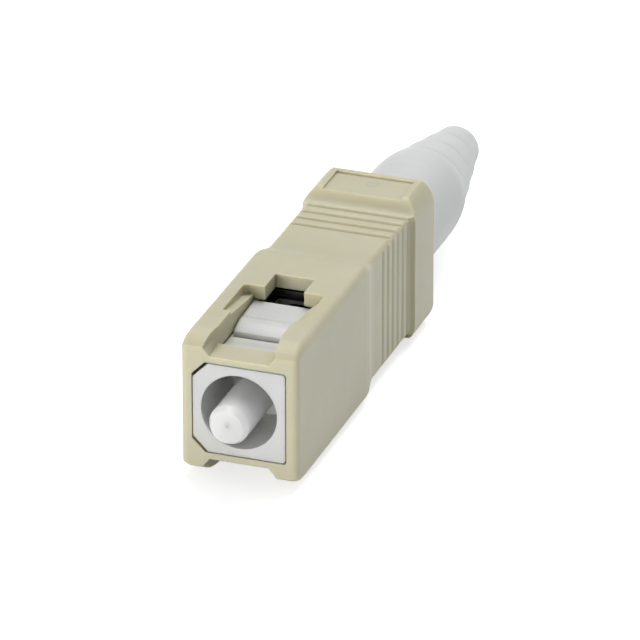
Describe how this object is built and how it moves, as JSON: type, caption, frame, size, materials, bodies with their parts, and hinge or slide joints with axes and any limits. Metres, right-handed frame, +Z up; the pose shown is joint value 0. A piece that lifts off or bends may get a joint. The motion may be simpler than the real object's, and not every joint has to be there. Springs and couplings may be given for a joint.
{
  "type": "sc fibre optic connector plug",
  "caption": "Square push-pull fibre-optic plug: ceramic ferrule in a sliding latched housing with windows, grip ribs and a tapered strain-relief boot.",
  "frame": {"origin": "on the optical axis, in the plane of the nose, where the frame's and the housing's front faces lie", "axes": "+Z up, towards a window face; +Y along the optical axis from the nose to the boot; the polarity rib is on -X"},
  "size_m": [0.0083, 0.0429, 0.0096],
  "materials": {
    "beige_plastic": "fine moulded satin",
    "white_plastic": "smooth moulded",
    "ceramic": "polished ceramic",
    "nickel": "turned and plated",
    "dark_steel": "turned or drawn, with a black oxide coat",
    "liner_plastic": "extruded, black",
    "boot_rubber": "soft moulded satin"
  },
  "bodies": {
    "housing": {"outer_housing": "beige_plastic"},
    "plug": {"plug_frame": "white_plastic", "rear_body": "nickel", "crimp_ring": "nickel", "boot": "boot_rubber", "spring": "dark_steel"},
    "ferrule_unit": {"ferrule": "ceramic", "ferrule_flange": "dark_steel", "liner_tube": "liner_plastic"}
  },
  "joints": [
    {"name": "frame_slide", "type": "slide", "parent": "housing", "child": "plug", "axis": [0, -1, 0], "range_m": [0, 0.002]},
    {"name": "ferrule_float", "type": "slide", "parent": "plug", "child": "ferrule_unit", "axis": [0, 1, 0], "range_m": [0, 0.002], "stiffness_N_per_m": 500, "deforming": ["spring"]}
  ]
}
